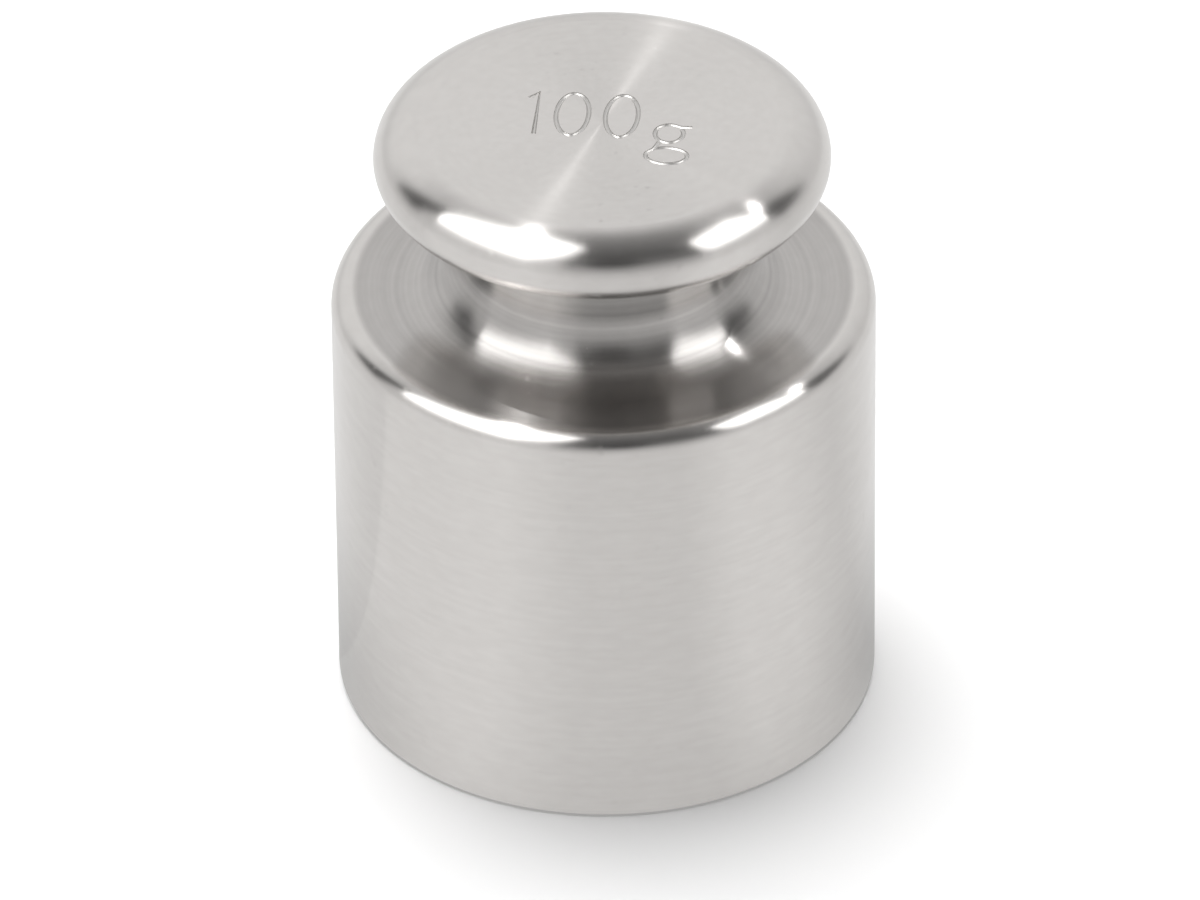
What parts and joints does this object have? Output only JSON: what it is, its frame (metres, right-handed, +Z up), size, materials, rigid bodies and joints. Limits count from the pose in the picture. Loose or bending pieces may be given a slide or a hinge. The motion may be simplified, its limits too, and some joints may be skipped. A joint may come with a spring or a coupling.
{
  "type": "calibration weight",
  "caption": "Cylindrical steel weight with a rounded gripping knob on a hollowed neck and a flat base, engraved with its nominal mass of 100 g.",
  "frame": {"origin": "centre of the flat base", "axes": "+Z up the weight's axis towards the knob; the engraved figures read from the -Y side, with +X to their right"},
  "size_m": [0.0252, 0.0252, 0.0303],
  "materials": {
    "turned_steel": "finely turned stainless steel, unlacquered"
  },
  "bodies": {
    "root": {"weight": "turned_steel"}
  },
  "joints": []
}
